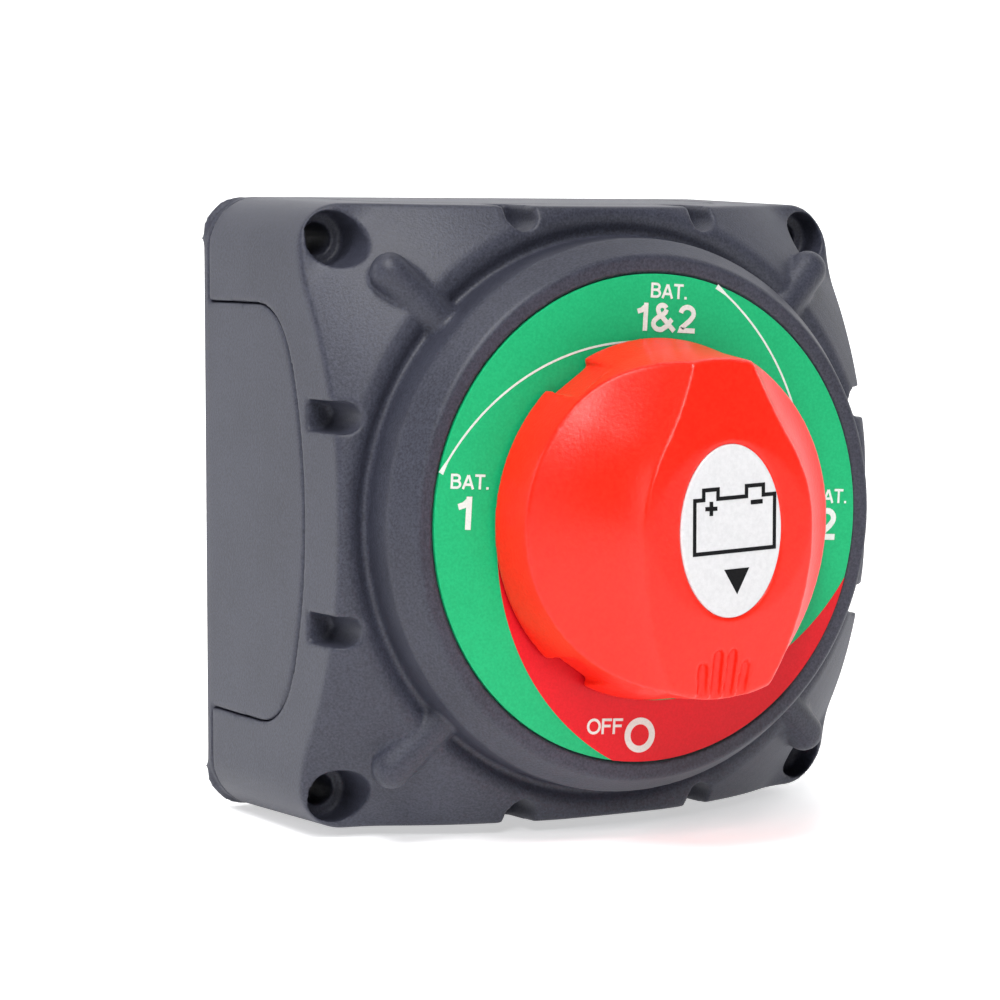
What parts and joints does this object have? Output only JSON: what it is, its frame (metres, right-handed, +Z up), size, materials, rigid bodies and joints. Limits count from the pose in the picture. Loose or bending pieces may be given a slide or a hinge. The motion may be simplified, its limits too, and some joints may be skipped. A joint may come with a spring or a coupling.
{
  "type": "battery selector switch",
  "caption": "Panel-mounted rotary battery selector with a square domed case, a round printed dial and a waisted pointer knob.",
  "frame": {"origin": "centre of the rear mounting face, in the plane of the four pads that meet the panel", "axes": "+Z is up when mounted on a wall, +X is to the right seen from the front, and the dial faces -Y, so +Y runs into the panel"},
  "size_m": [0.104, 0.085, 0.104],
  "materials": {
    "housing_plastic": "fine satin moulded texture",
    "cover_plastic": "fine satin moulded texture",
    "label_film": "printed label in green and red",
    "knob_plastic": "satin moulded",
    "badge_plastic": "glossy white with dark print",
    "base_plastic": "glass-filled moulding",
    "carrier_plastic": "natural nylon",
    "bearing_plastic": "acetal",
    "seal_rubber": "soft matt",
    "contact_metal": "tin-free copper alloy, lightly worn",
    "zinc_steel": "bright zinc plated",
    "spring_steel": "polished spring steel"
  },
  "bodies": {
    "housing": {"front_housing": "housing_plastic", "dial_label": "label_film", "shaft_bush": "bearing_plastic", "shaft_seal": "seal_rubber", "thrust_washer": "bearing_plastic", "switch_base": "base_plastic", "base_gasket": "seal_rubber", "base_screws": "zinc_steel", "stud_1": "contact_metal", "stud_2": "contact_metal", "stud_common": "contact_metal", "base_nuts": "zinc_steel", "flat_washers": "zinc_steel", "spring_washers": "spring_steel", "terminal_nuts": "zinc_steel", "detent_spring_left": "spring_steel", "detent_spring_right": "spring_steel"},
    "rotor": {"rotor_shaft": "carrier_plastic", "carrier_clip": "spring_steel", "contact_carrier": "carrier_plastic", "moving_contact": "contact_metal", "contact_spring": "spring_steel", "detent_cam": "bearing_plastic", "knob": "knob_plastic", "knob_washer": "zinc_steel", "knob_screw": "zinc_steel", "knob_badge": "badge_plastic"},
    "rear_cover": {"rear_cover": "cover_plastic"}
  },
  "joints": [
    {"name": "knob_turn", "type": "hinge", "parent": "housing", "child": "rotor", "pos_m": [0, 0, 0], "axis": [0, -1, 0], "continuous": true, "deforming": ["detent_spring_left", "detent_spring_right"]},
    {"name": "rear_cover_slide", "type": "slide", "parent": "housing", "child": "rear_cover", "axis": [0, 1, 0], "range_m": [0, 0.045]}
  ]
}
